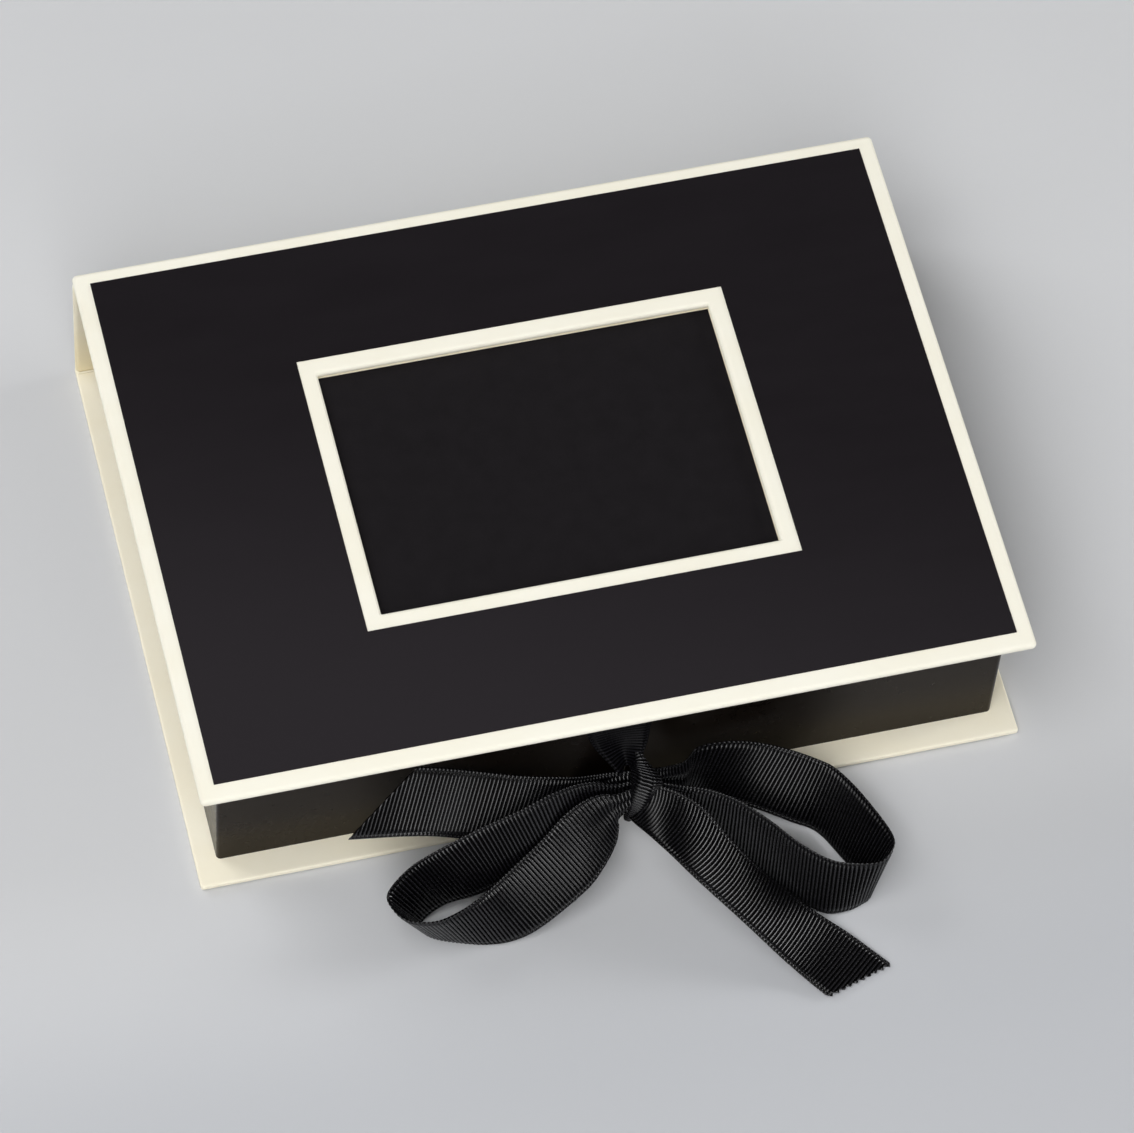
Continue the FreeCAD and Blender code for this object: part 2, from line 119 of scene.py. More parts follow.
def new_finish(name):
    """An empty material with its output node: returns the material, its node tree and the output."""
    material = bpy.data.materials.new(name)
    material.use_nodes = True
    material.node_tree.nodes.clear()
    return material, material.node_tree, add(material.node_tree, "ShaderNodeOutputMaterial")


def passing(tree, tone, way, start, end, code):
    """A tone that passes into the colour code along a way, from start to end metres from the origin.

    The distance along the way is the dot product of the place with the way.
    """
    place = add(tree, "ShaderNodeTexCoord")
    reach = add(tree, "ShaderNodeVectorMath", {0: place.outputs["Object"], 1: way}, operation="DOT_PRODUCT")
    share = add(tree, "ShaderNodeMapRange", {"Value": reach.outputs["Value"], 1: start, 2: end},
                interpolation_type="SMOOTHSTEP")
    mixed = add(tree, "ShaderNodeMix", {0: share.outputs[0], 6: tone, 7: colour(code)}, data_type="RGBA")
    return mixed.outputs[2]


print("cream as linear light:", [round(x, 3) for x in colour("#F8F5E6")[:3]])

# %% [markdown]
# ## Floor and light
# The studio table is a pale grey, and painted shade darkens it a little towards the front, where the box's
# shadow falls. White walls all round would be the easy light, but the black papers would mirror them and
# turn grey. So the walls stay nearly dark, and six large softboxes on all sides give the light: together
# they leave only soft shadows, and each one shows up as a thin line of shine along the ribbon's cords. The
# ceiling that the lid mirrors is darkest.

# %% Floor and light
FLOOR_HALF = 3.0
FLOOR_CLOUDS = 3.0  # per metre
# Painted shade on the table: the span over which its colour darkens towards the front.
FLOOR_PAINTED_SHADE = (80 * MM, 190 * MM)  # how far to the front the table starts and stops getting darker
LAMP_AIM = Vector((0, 0, 50 * MM))
WALL_LIGHT = 0.05
CEILING_LIGHT = 0.02
CEILING_WAY = Vector((0.21, 0.62, 0.76))
CEILING_REACH = (15, 45)  # degrees from that direction where the ceiling ends and where the wall is full
SOFTBOXES = {  # place, side, and share of the light on the table
    "top_softbox": ((-0.65, -0.42, 1.92), 1.1, 0.265),
    "right_softbox": ((1.88, 0.0, 0.73), 0.8, 0.17),
    "back_left_softbox": ((-1.15, 1.15, 1.15), 1.1, 0.20),
    "front_softbox": ((-0.5, -1.35, 1.46), 1.1, 0.28),
    "left_softbox": ((-1.35, -0.4, 1.46), 1.1, 0.08),
    "low_front_softbox": ((0.0, -1.88, 0.73), 1.1, 0.08),
}

floor_mesh = bpy.data.meshes.new("table_top")
corner = np.array([[-1, -1, 0], [1, -1, 0], [1, 1, 0], [-1, 1, 0]], float) * FLOOR_HALF
floor_mesh.from_pydata(corner.tolist(), [], [(0, 1, 2, 3)])
floor = bpy.data.objects.new("table_top", floor_mesh)
bpy.context.scene.collection.objects.link(floor)

table_grey, tree, output = new_finish("matt_grey_laminate")
place = add(tree, "ShaderNodeTexCoord")
cloud = add(tree, "ShaderNodeTexNoise", {
    "Vector": place.outputs["Object"], "Scale": FLOOR_CLOUDS, "Detail": 2.0})
tint = add(tree, "ShaderNodeMix", {0: cloud.outputs["Fac"], 6: colour("#CECFD1"), 7: colour("#D6D7D9")},
           data_type="RGBA")
# Painted shade: the table's colour darkens towards the front, where the box's shadow falls.
table_tone_painted_shade = passing(tree, tint.outputs[2], (0, -1, 0), *FLOOR_PAINTED_SHADE, "#BDBFC3")
matt = add(tree, "ShaderNodeBsdfPrincipled", {
    "Base Color": table_tone_painted_shade, "Roughness": 0.8, "Specular IOR Level": 0.15})
tree.links.new(matt.outputs[0], output.inputs[0])
floor_mesh.materials.append(table_grey)

for name, (place, side, share) in SOFTBOXES.items():
    lamp = bpy.data.lights.new(name, "AREA")
    lamp.shape = "SQUARE"
    lamp.size = side
    way = LAMP_AIM - Vector(place)
    # A square lamp lights a level spot by energy x slope / (pi x distance) squared, as a share of white.
    lamp.energy = share * math.pi ** 2 * way.length_squared * way.length / place[2]
    softbox = bpy.data.objects.new(name, lamp)
    bpy.context.scene.collection.objects.link(softbox)
    softbox.location = place
    softbox.rotation_mode = "QUATERNION"
    softbox.rotation_quaternion = way.to_track_quat("-Z", "Y")
    print(name, round(lamp.energy, 1), "W")

world = bpy.data.worlds.new("studio")
bpy.context.scene.world = world
world.use_nodes = True
tree = world.node_tree
tree.nodes.clear()
way = add(tree, "ShaderNodeTexCoord")
near = add(tree, "ShaderNodeVectorMath", {0: way.outputs["Generated"], 1: CEILING_WAY.normalized()},
           operation="DOT_PRODUCT")
inner, outer = (math.cos(math.radians(angle)) for angle in CEILING_REACH)
level = add(tree, "ShaderNodeMapRange", {"Value": near.outputs["Value"], 1: outer, 2: inner,
                                         3: WALL_LIGHT, 4: CEILING_LIGHT}, interpolation_type="SMOOTHSTEP")
studio = add(tree, "ShaderNodeBackground", {"Color": colour("#FFFFFF"), "Strength": level.outputs[0]})
add(tree, "ShaderNodeOutputWorld", {"Surface": studio.outputs[0]})

# %% [markdown]
# ## Papers and boards
# All the stiff pieces are paper or board, so one function makes the whole family. Clouds of fibre a few
# centimetres across shift the colour a little, a fine tooth breaks up the gloss, and both stretch along
# the grain, the way the fibres lay on the paper machine. What differs is the colour, how far apart
# the two tones are, the gloss and the tooth.

# %% Papers and boards
NOISE_RANGE = (0.3, 0.7)  # noise that counts as none and noise that counts as all
WAVER = 0.06  # how far the roughness goes up and down


def paper(name, tone, other_tone, cloud_mm, tooth_mm, roughness, gloss, depth_mm, grain=1.0, passes=None,
          shine="#FFFFFF"):
    """Paper: clouds of two tones, roughness that wavers with the tooth, and the tooth as fine relief.

    The pattern is stretched along X by grain, depth_mm is how deep the tooth looks, passes holds the way,
    start, end and colour of a third tone that the sheet passes into, here always painted light or shade, and
    shine is the colour of its gloss.
    """
    material, tree, output = new_finish(name)
    place = add(tree, "ShaderNodeTexCoord")
    along = add(tree, "ShaderNodeMapping", {"Vector": place.outputs["Object"], "Scale": (1 / grain, 1, 1)})
    clouds = add(tree, "ShaderNodeTexNoise", {"Vector": along.outputs[0], "Scale": 1 / (cloud_mm * MM),
                                              "Detail": 3.0, "Roughness": 0.55})
    tooth = add(tree, "ShaderNodeTexNoise", {"Vector": along.outputs[0], "Scale": 1 / (tooth_mm * MM),
                                             "Detail": 2.0})
    spread = add(tree, "ShaderNodeMapRange", {
        "Value": clouds.outputs["Fac"], 1: NOISE_RANGE[0], 2: NOISE_RANGE[1]})
    tones = add(tree, "ShaderNodeMix", {0: spread.outputs[0], 6: colour(tone), 7: colour(other_tone)},
                data_type="RGBA")
    sheet = passing(tree, tones.outputs[2], *passes) if passes else tones.outputs[2]
    waver = add(tree, "ShaderNodeMath", {0: clouds.outputs["Fac"], 1: tooth.outputs["Fac"]}, operation="ADD")
    dull = add(tree, "ShaderNodeMapRange", {
        "Value": waver.outputs[0], 1: 2 * NOISE_RANGE[0], 2: 2 * NOISE_RANGE[1],
        3: roughness - WAVER, 4: roughness + WAVER})
    relief = add(tree, "ShaderNodeBump", {"Height": tooth.outputs["Fac"], "Strength": 0.5,
                                          "Distance": depth_mm * MM})
    shader = add(tree, "ShaderNodeBsdfPrincipled", {
        "Base Color": sheet, "Roughness": dull.outputs[0], "Normal": relief.outputs[0],
        "Specular IOR Level": gloss, "Specular Tint": colour(shine)})
    tree.links.new(shader.outputs[0], output.inputs[0])
    return material


# Uncoated cream wrapping paper, calendered smooth: even and soft, with a faint fibre cloud.
# Its real tooth of about 0.15 mm is too fine to show and is drawn at 0.9 mm.
cream_paper = paper("cream_wrapping_paper", "#FAF7E9", "#F7F3E2", 22, 0.9, 0.66, 0.20, 0.03, 1.5)
# The same paper seen as the sheet that lines the base, a little yellower.
base_paper = paper("cream_lining_paper", "#FCF6E2", "#F9F1D9", 22, 0.9, 0.70, 0.20, 0.03, 1.5)
# In the fold of the spine light goes back and forth between the papers and takes on their yellow. That
# bounce light is painted into this copy of the lining paper, yellower down towards the fold.
painted_bounce_paper = paper("cream_painted_bounce_paper", "#FBF4DE", "#F8EFD4", 22, 0.9, 0.70, 0.20, 0.03, 1.5,
                   ((0, 0, -1), -45 * MM, -6 * MM, "#FFF0C8"))
# Black coated paper with a dull satin varnish: dark, with faint clouds drawn out along the sheet.
# The varnish ripple of about 0.3 mm is drawn at 1.2 mm.
# Towards its front left corner the sheet is painted paler, a painted sheen where it is nearest to the front
# softbox.
panel_paper_painted_sheen = paper("black_satin_paper_painted_sheen", "#1B181B", "#1D1A1D", 9, 1.2, 0.64, 0.06, 0.02, 4.0,
                    ((-0.35, -0.94, 0), -30 * MM, 110 * MM, "#292629"))
# The tray's covering is a smooth black paper: dark itself, it mirrors the pale table softly. Its gloss is
# tinted warm, and its colour is painted browner towards its foot, a painted reflection of the cream base
# below.
tray_paper = paper("black_covering_paper", "#0A0604", "#0C0806", 30, 2.5, 0.30, 0.165, 0.001, 1.0,
                   ((0, 0, -1), -22 * MM, -4 * MM, "#0A0600"), "#FFD4A4")
# Matt black card, uncoated: nearly even, with a dry fibre tooth of 0.25 mm drawn at 0.8 mm.
black_card = paper("matt_black_card", "#110E11", "#151215", 6, 0.8, 0.72, 0.16, 0.05)
# Pale lining paper, uncoated and matt, where nobody sees it until the box is open.
lining_paper = paper("pale_lining_paper", "#EFE8D3", "#E8DFC6", 18, 0.9, 0.78, 0.18, 0.05, 1.5)
pocket_card = paper("cream_pocket_card", "#F0E9D6", "#E9E1CA", 12, 0.9, 0.74, 0.20, 0.04)
# Greyboard pressed from waste paper: grey with darker and paler flecks a few millimetres across.
greyboard = paper("pressed_greyboard", "#8C867C", "#78736A", 3, 0.7, 0.88, 0.12, 0.12)
# Brown gummed kraft paper of the corner stays: long fibres along the strip.
kraft_paper = paper("brown_kraft_paper", "#B08A5E", "#9C784F", 4, 0.8, 0.82, 0.15, 0.06, 3.0)

FINISHES = {
    cream_paper: ("lid_wrap", "base_wrap", "spine_wrap"),
    base_paper: ("base_lining", "spine_lining"),
    panel_paper_painted_sheen: ("lid_panel",),
    tray_paper: ("tray_wrap",),
    black_card: ("photo_card",),
    lining_paper: ("lid_lining", "tray_lining", "tray_floor_lining"),
    pocket_card: ("pocket_spacer", "pocket_back"),
    greyboard: ("lid_board", "base_board", "spine_board", "tray_floor", "tray_front_wall",
                "tray_back_wall", "tray_left_wall", "tray_right_wall"),
    kraft_paper: ("corner_stays",),
}
for finish, names in FINISHES.items():
    for name in names:
        solids[name].material_slots[0].material = finish
print("papered solids:", sum(len(names) for names in FINISHES.values()))

# %% [markdown]
# ## From a grid of points to a mesh
# Every new piece below is a closed skin: rings of points, one after the other. Neighbouring rings are
# joined by four-sided faces. The ends are either joined to each other or closed by a strip
# of faces that pairs the two halves of the last ring, and the faces are turned to point outwards.

# %% Grid to mesh
WELD = 0.002 * MM  # points closer than this are one point


def skin(name, rings, material, joined=False, flat=None):
    """A closed mesh through rings of points (rings x points x 3), with texture places flat if given.

    Face (i, j) joins points j and j+1 of ring i to the same two of ring i+1. The volume under the faces,
    a sixth of the sum of a . (b x c) over their triangles, is negative when they point inwards.
    """
    count, size = rings.shape[:2]
    number = np.arange(count * size).reshape(count, size)
    rows = np.vstack([number, number[:1]]) if joined else number
    rows = np.hstack([rows, rows[:, :1]])
    faces = np.stack([rows[:-1, :-1], rows[:-1, 1:], rows[1:, 1:], rows[1:, :-1]], -1).reshape(-1, 4)
    if not joined:
        near = np.arange(size // 2 - 1)
        far = size - 1 - near
        for ring, way in ((number[0], 1), (number[-1], -1)):
            cap = np.stack([ring[near], ring[far], ring[far - 1], ring[near + 1]], -1)
            faces = np.vstack([faces, cap[:, ::way]])
    points = rings.reshape(-1, 3)
    a, b, c, d = (points[faces[:, k]] for k in range(4))
    volume = (np.cross(b, c) * a).sum() + (np.cross(c, d) * a).sum()
    faces = faces if volume > 0 else faces[:, ::-1]

    mesh = bpy.data.meshes.new(name)
    mesh.vertices.add(len(points))
    mesh.vertices.foreach_set("co", points.ravel())
    mesh.loops.add(faces.size)
    mesh.loops.foreach_set("vertex_index", faces.ravel().astype(np.int32))
    mesh.polygons.add(len(faces))
    mesh.polygons.foreach_set("loop_start", np.arange(0, faces.size, 4, dtype=np.int32))
    mesh.polygons.foreach_set("use_smooth", np.ones(len(faces), bool))
    if flat is not None:
        layer = mesh.uv_layers.new(name="cloth")
        layer.data.foreach_set("uv", flat.reshape(-1, 2)[faces.ravel()].ravel())
    mesh.update(calc_edges=True)
    mesh.validate()
    weld = bmesh.new()
    weld.from_mesh(mesh)
    bmesh.ops.remove_doubles(weld, verts=weld.verts, dist=WELD)
    bmesh.ops.dissolve_degenerate(weld, edges=weld.edges, dist=WELD)
    weld.to_mesh(mesh)
    weld.free()
    mesh.materials.append(material)
    piece = bpy.data.objects.new(name, mesh)
    bpy.context.scene.collection.objects.link(piece)
    print(f"{name}: {len(faces)} faces, {abs(volume) / 6 / MM ** 3:.0f} mm3")
    return piece


# %% [markdown]
# Paths that bend, such as the run of a ribbon, are given by a few listed points, and a smooth curve
# is drawn through them.

# %% Smooth curve
def smooth_line(points, steps=16):
    """A curve through points that passes each one along the line from its neighbour before to the one after.

    Between two points it is a cubic in the share t of the way, with those directions at its ends.
    """
    held = np.concatenate([points[:1], points, points[-1:]])
    before, start, end, after = (held[k:len(held) - 3 + k, None] for k in range(4))
    t = np.linspace(0, 1, steps, endpoint=False)[None, :, None]
    curve = start + 0.5 * (t * (end - before) + t ** 2 * (2 * before - 5 * start + 4 * end - after)
                           + t ** 3 * (3 * start - before - 3 * end + after))
    return np.concatenate([curve.reshape(-1, points.shape[1]), points[-1:]])


print("a curve through three points has", len(smooth_line(np.eye(3))), "points")

# %% [markdown]
# ## Wrapped boards
# Paper pulled round a board's edge makes a soft round, not a sharp fold, and that round catches a line of
# light. Each board is therefore a stack of rounded rectangles: flat underneath, round the edge, flat on top.
# On the base and the spine the lining lies flush, so that board, paper and lining read as one smooth slab.
# Under the front edge of the base there is a dark line along the table: its lip stands clear of it by the
# turned-in paper's thickness, so its stack starts with a low foot that is set back.

# %% Wrapped boards
EDGE_ROUND = 1.3 * MM
PLAN_CORNER = 1.7 * MM
HOLD = 0.3 * MM
LIP_ROUND = 0.6 * MM
LIP_CORNER = 0.9 * MM
LEAST_CORNER = 0.05 * MM
FOOT_INSET = 5 * MM
FOOT_HEIGHT = 0.8 * MM


def rounded_rectangle(half_x, half_y, corner, steps=8):
    """Points round a rectangle: each corner is a quarter circle, with one point HOLD before and after it."""
    quarter = np.arange(4)[:, None] * (math.pi / 2)
    angle = quarter + np.linspace(0, math.pi / 2, steps)
    round_x, round_y = corner * np.cos(angle), corner * np.sin(angle)
    lead_x = round_x[:, :1] + HOLD * np.sin(quarter)
    lead_y = round_y[:, :1] - HOLD * np.cos(quarter)
    tail_x = round_x[:, -1:] - HOLD * np.cos(quarter)
    tail_y = round_y[:, -1:] - HOLD * np.sin(quarter)
    side_x = (half_x - corner) * np.array([1, -1, -1, 1])[:, None]
    side_y = (half_y - corner) * np.array([1, 1, -1, -1])[:, None]
    x = side_x + np.hstack([lead_x, round_x, tail_x])
    y = side_y + np.hstack([lead_y, round_y, tail_y])
    return np.stack([x, y], -1).reshape(-1, 2)


def edge_profile(low, high, radius, steps=8):
    """(inset, height) pairs up round a board's edge: a quarter circle, a straight, a quarter circle."""
    turn = np.linspace(0, math.pi / 2, steps)
    inset = np.concatenate([[radius + HOLD], radius * (1 - np.sin(turn))])
    rise = np.concatenate([[0.0], radius * (1 - np.cos(turn))])
    return np.concatenate([inset, inset[::-1]]), np.concatenate([low + rise, high - rise[::-1]])


def stack(outlines, heights):
    """Flat outlines, each lifted to its height: rings of points with x, y from the outline."""
    return np.stack([np.column_stack([line, np.full(len(line), z)]) for line, z in zip(outlines, heights)])


def board_rings(half_x, half_y, low, high):
    """The rings of a wrapped board: at each inset, a smaller rectangle with a smaller corner."""
    insets, heights = edge_profile(low, high, EDGE_ROUND)
    return stack([rounded_rectangle(half_x - d, half_y - d, PLAN_CORNER - d) for d in insets], heights)


def dress(piece, body, slot, *nodes):
    """Lets a finished piece ride on its body and stand for its solids; its slot is not used."""
    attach(piece, body)
    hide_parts(*nodes)


base_low, base_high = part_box("base_wrap")
base_half = (base_high - base_low) / 2
lining_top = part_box("base_lining")[1].z
lip_insets, lip_heights = edge_profile(base_low.z + FOOT_HEIGHT, lining_top, LIP_ROUND)
insets = np.concatenate([[FOOT_INSET, FOOT_INSET], lip_insets])
heights = np.concatenate([[base_low.z, base_low.z + FOOT_HEIGHT], lip_heights])
slabs = [rounded_rectangle(base_half.x - d, base_half.y - d, max(LIP_CORNER - d, LEAST_CORNER))
         for d in insets]
base_cover = skin("base_cover", stack(slabs, heights), base_paper)
dress(base_cover, "case", "cream_paper", "base_wrap", "base_board", "base_lining")

# %% [markdown]
# The spine is the same kind of board stood on edge, so its rings are turned upright. Its inner face has
# a finish of its own, the lining paper with painted bounce light that gets yellower down towards the fold.

# %% Wrapped spine
FACES_INWARDS = -0.3  # a face whose normal points this far to the front is on the inner side

spine_low, spine_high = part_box("spine_wrap")
spine_half, spine_middle = (spine_high - spine_low) / 2, (spine_high + spine_low) / 2
lining_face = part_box("spine_lining")[0].y
upright = board_rings(spine_half.x, spine_half.z, lining_face, spine_high.y)
spine_cover = skin("spine_cover", upright[..., [0, 2, 1]] + np.array([0, 0, spine_middle.z]), cream_paper)
spine_cover.data.materials.append(painted_bounce_paper)
facing = np.empty((len(spine_cover.data.polygons), 3))
spine_cover.data.polygons.foreach_get("normal", facing.ravel())
# The inner faces take the copy of the lining paper with painted bounce light.
spine_cover.data.polygons.foreach_set("material_index", (facing[:, 1] < FACES_INWARDS).astype(np.int32))
dress(spine_cover, "case", "cream_paper", "spine_wrap", "spine_board", "spine_lining")

# %% [markdown]
# The lid's paper goes on into the window. Its stack of rings starts underneath, comes up round the outer
# edge, runs across the top under the black panel, goes down round the window's edge and closes underneath.

# %% Wrapped lid
WINDOW_SIDES = (128 * MM, 90 * MM)
WINDOW_MIDDLE = 0.6 * MM
WINDOW_ROUND = 1.2 * MM
WINDOW_CORNER = 0.4 * MM

lid_low, lid_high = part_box("lid_wrap")
lid_size = (lid_high - lid_low) / 2
outer_rings = board_rings(lid_size.x, lid_size.y, lid_low.z, lid_high.z)
spread, window_heights = edge_profile(lid_low.z, lid_high.z, WINDOW_ROUND)
window_rings = stack(
    [rounded_rectangle(WINDOW_SIDES[0] / 2 + d, WINDOW_SIDES[1] / 2 + d, WINDOW_CORNER + d) for d in spread],
    window_heights)[::-1] + np.array([0, WINDOW_MIDDLE, 0])
lid_cover = skin("lid_cover", np.concatenate([outer_rings, window_rings]), cream_paper, joined=True)
dress(lid_cover, "lid", "cream_paper", "lid_wrap", "lid_board")

# %% [markdown]
# ## Hinge paper and fold
# The lid hangs on the wrapping paper itself, which runs on from the back of the spine to the lid's edge.
# The strip bulges a little over the gap between them. At the foot of the spine the
# lining is creased into the corner, and beside the tray that crease stands up as a small bead.

# %% Hinge paper
HINGE_PAPER = 0.22 * MM
HINGE_PATH = [(98.45, 49), (98.5, 51), (98.7, 52.4), (98.95, 53.5), (98.75, 54.3), (98.48, 55.2)]
HINGE_HALF = 131 * MM
HINGE_RINGS = 9
HINGE_END = 0.05  # radians left out at either end of the half wave, so that the paper is never quite thin

back = smooth_line(np.array(HINGE_PATH, float)) * MM
lean = np.gradient(back, axis=0)
lean = np.stack([lean[:, 1], -lean[:, 0]], -1) / np.linalg.norm(lean, axis=1, keepdims=True)
taper = np.sin(np.linspace(HINGE_END, math.pi - HINGE_END, len(back)))[:, None]
section = np.concatenate([back + lean * HINGE_PAPER * taper, back[::-1]])
along = np.linspace(-HINGE_HALF, HINGE_HALF, HINGE_RINGS)[:, None, None]
strip = np.concatenate([np.broadcast_to(along, (HINGE_RINGS, len(section), 1)),
                        np.broadcast_to(section, (HINGE_RINGS, *section.shape))], -1)
hinge_paper = skin("hinge_paper", strip, cream_paper)
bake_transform(hinge_paper)

# %% Crease beads
BEAD_ROUND = 0.35 * MM
BEAD_SWELL = np.array([0.5, 0.9, 1, 1, 1, 0.9, 0.4])  # its thickness along the way, as a share
BEAD_FROM_TRAY = 0.3 * MM
BEAD_FROM_END = 0.4 * MM
BEAD_FORWARD = 0.2 * MM
BEAD_LIFT = 0.45 * MM

tray_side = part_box("tray_wrap")[1].x
bead_turn = np.linspace(0, 2 * math.pi, 12, endpoint=False)
bead_reach = np.linspace(tray_side + BEAD_FROM_TRAY, spine_half.x - BEAD_FROM_END, len(BEAD_SWELL))
bead_thick = BEAD_ROUND * BEAD_SWELL[:, None]
bead_y = lining_face - BEAD_FORWARD + bead_thick * np.cos(bead_turn)
bead_z = lining_top + BEAD_LIFT + bead_thick * np.sin(bead_turn)
for name, side in (("crease_bead_left", -1), ("crease_bead_right", 1)):
    bead_x = np.broadcast_to(side * bead_reach[:, None], bead_y.shape)
    crease_bead = skin(name, np.stack([bead_x, bead_y, bead_z], -1), base_paper)
    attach(crease_bead, "case")

# %% [markdown]
# ## Grosgrain ribbon
# Grosgrain is woven with thick cords across a narrow band, so it looks like a row of fine ribs, and where
# each cord turns round at the edge it leaves a bead. The ribbon is black polyester 22 mm wide: its crests
# shine in thin grey lines and its valleys are black. The ribs here are real relief. The finish adds the
# threads over them, finer than a pixel, and paints a highlight that makes the crests paler and shade that
# makes the valleys darker.

# %% Grosgrain finish
CORD = 1.27 * MM
# Threads along the ribbon lie 0.25 mm apart on the real one; they are drawn at 0.5 mm so that they show.
THREAD = 0.5 * MM
THREAD_RELIEF = 0.06 * MM
THREAD_STRETCH = 0.15  # how fine the pattern of threads is along the ribbon, as a share of across it
THREAD_LIFT = 0.3  # what the threads add to the height of a cord, as a share
RIB_PAINTED_LIGHT = (0.4, 1.15)  # heights where the black dye is painted darkest, as shade in a valley, and palest, as highlight on a crest
LUSTRE = (0.22, 0.29)  # roughness of the smoothest and of the roughest threads
VALLEY_SHINE, CREST_SHINE = 0.25, 1.2  # shares of the gloss


def grosgrain_finish(name, gloss):
    """Woven cords crossed by threads and shinier on a crest, with a painted highlight that makes a crest
    paler and painted shade that darkens a valley.

    The height of a cord is the sine squared of the way along the ribbon, with one half wave to a cord.
    """
    material, tree, output = new_finish(name)
    cloth_place = add(tree, "ShaderNodeUVMap", uv_map="cloth")
    run_across = add(tree, "ShaderNodeSeparateXYZ", {0: cloth_place.outputs[0]})
    beat = add(tree, "ShaderNodeMath", {0: run_across.outputs[0], 1: math.pi / CORD},
               operation="MULTIPLY")
    wave = add(tree, "ShaderNodeMath", {0: beat.outputs[0]}, operation="SINE")
    crest = add(tree, "ShaderNodeMath", {0: wave.outputs[0], 1: wave.outputs[0]}, operation="MULTIPLY")
    fine = add(tree, "ShaderNodeMapping", {
        "Vector": cloth_place.outputs[0], "Scale": (THREAD_STRETCH, 1, 1)})
    threads = add(tree, "ShaderNodeTexNoise", {"Vector": fine.outputs[0], "Scale": 1 / THREAD,
                                               "Detail": 2.0})
    height = add(tree, "ShaderNodeMath", {0: threads.outputs["Fac"], 1: THREAD_LIFT, 2: crest.outputs[0]},
                 operation="MULTIPLY_ADD")
    lit = add(tree, "ShaderNodeMapRange", {"Value": height.outputs[0], 1: RIB_PAINTED_LIGHT[0], 2: RIB_PAINTED_LIGHT[1]})
    # Painted highlight and shade: the black dye is paler on a crest and darker in a valley.
    rib_dye_painted_light = add(tree, "ShaderNodeMix", {0: lit.outputs[0], 6: colour("#030303"), 7: colour("#131216")},
              data_type="RGBA")
    lustre = add(tree, "ShaderNodeMapRange", {
        "Value": threads.outputs["Fac"], 1: NOISE_RANGE[0], 2: NOISE_RANGE[1], 3: LUSTRE[0], 4: LUSTRE[1]})
    twill = add(tree, "ShaderNodeBump", {"Height": threads.outputs["Fac"], "Strength": 0.05,
                                         "Distance": THREAD_RELIEF})
    shine = add(tree, "ShaderNodeMapRange", {
        "Value": lit.outputs[0], 3: VALLEY_SHINE * gloss, 4: CREST_SHINE * gloss})
    yarn = add(tree, "ShaderNodeBsdfPrincipled", {
        "Base Color": rib_dye_painted_light.outputs[2], "Roughness": lustre.outputs[0], "Normal": twill.outputs[0],
        "Specular IOR Level": shine.outputs[0]})
    tree.links.new(yarn.outputs[0], output.inputs[0])
    return material


# Black polyester: shiny crests, black valleys. The strand under the lid gets a far less glossy copy, painted
# shade for the lid's shadow over it.
grosgrain = grosgrain_finish("black_polyester_grosgrain", 0.56)
shaded_grosgrain = grosgrain_finish("shaded_black_grosgrain", 0.08)
print("grosgrain threads drawn at", THREAD / MM, "mm")

# %% [markdown]
# A ribbon is laid through listed ribs: each is the place of its upper and its lower edge at one
# point of its run. A smooth curve through the ribs gives both edges. Across them go the columns,
# and the thickness swells and sinks once per cord along the way.

# %% Ribbon
RIBBON_WIDTH = 22 * MM
BODY = 0.08 * MM
CREST = 0.50 * MM  # drawn about twice as high as on the real ribbon, so that the valleys stay in shade
SELVEDGE = 0.10  # share of the half width that the beaded edge takes
CORD_END = 1 - 1.4 * SELVEDGE  # how far out the last column of plain cord lies
BEAD = 0.65  # height of its beads as a share of a cord's
CORD_STEPS = np.array([0, 0.03, 0.17, 0.33, 0.5, 0.67, 0.83, 0.97])  # close together beside a valley
CURL_LIMIT = 2.8  # radians that a curled ribbon turns to either side at most
CURL_CREASES = 5  # half waves of its small creases from its middle to an edge
CURL_CREASE = 0.04  # their height as a share of its width
FRONT_EDGE = -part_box("base_wrap")[1].y


def read_off(values, distance, wanted):
    """Values known at increasing distances, read off in straight lines at the wanted distances."""
    return np.stack([np.interp(wanted, distance, column) for column in values.T], -1)


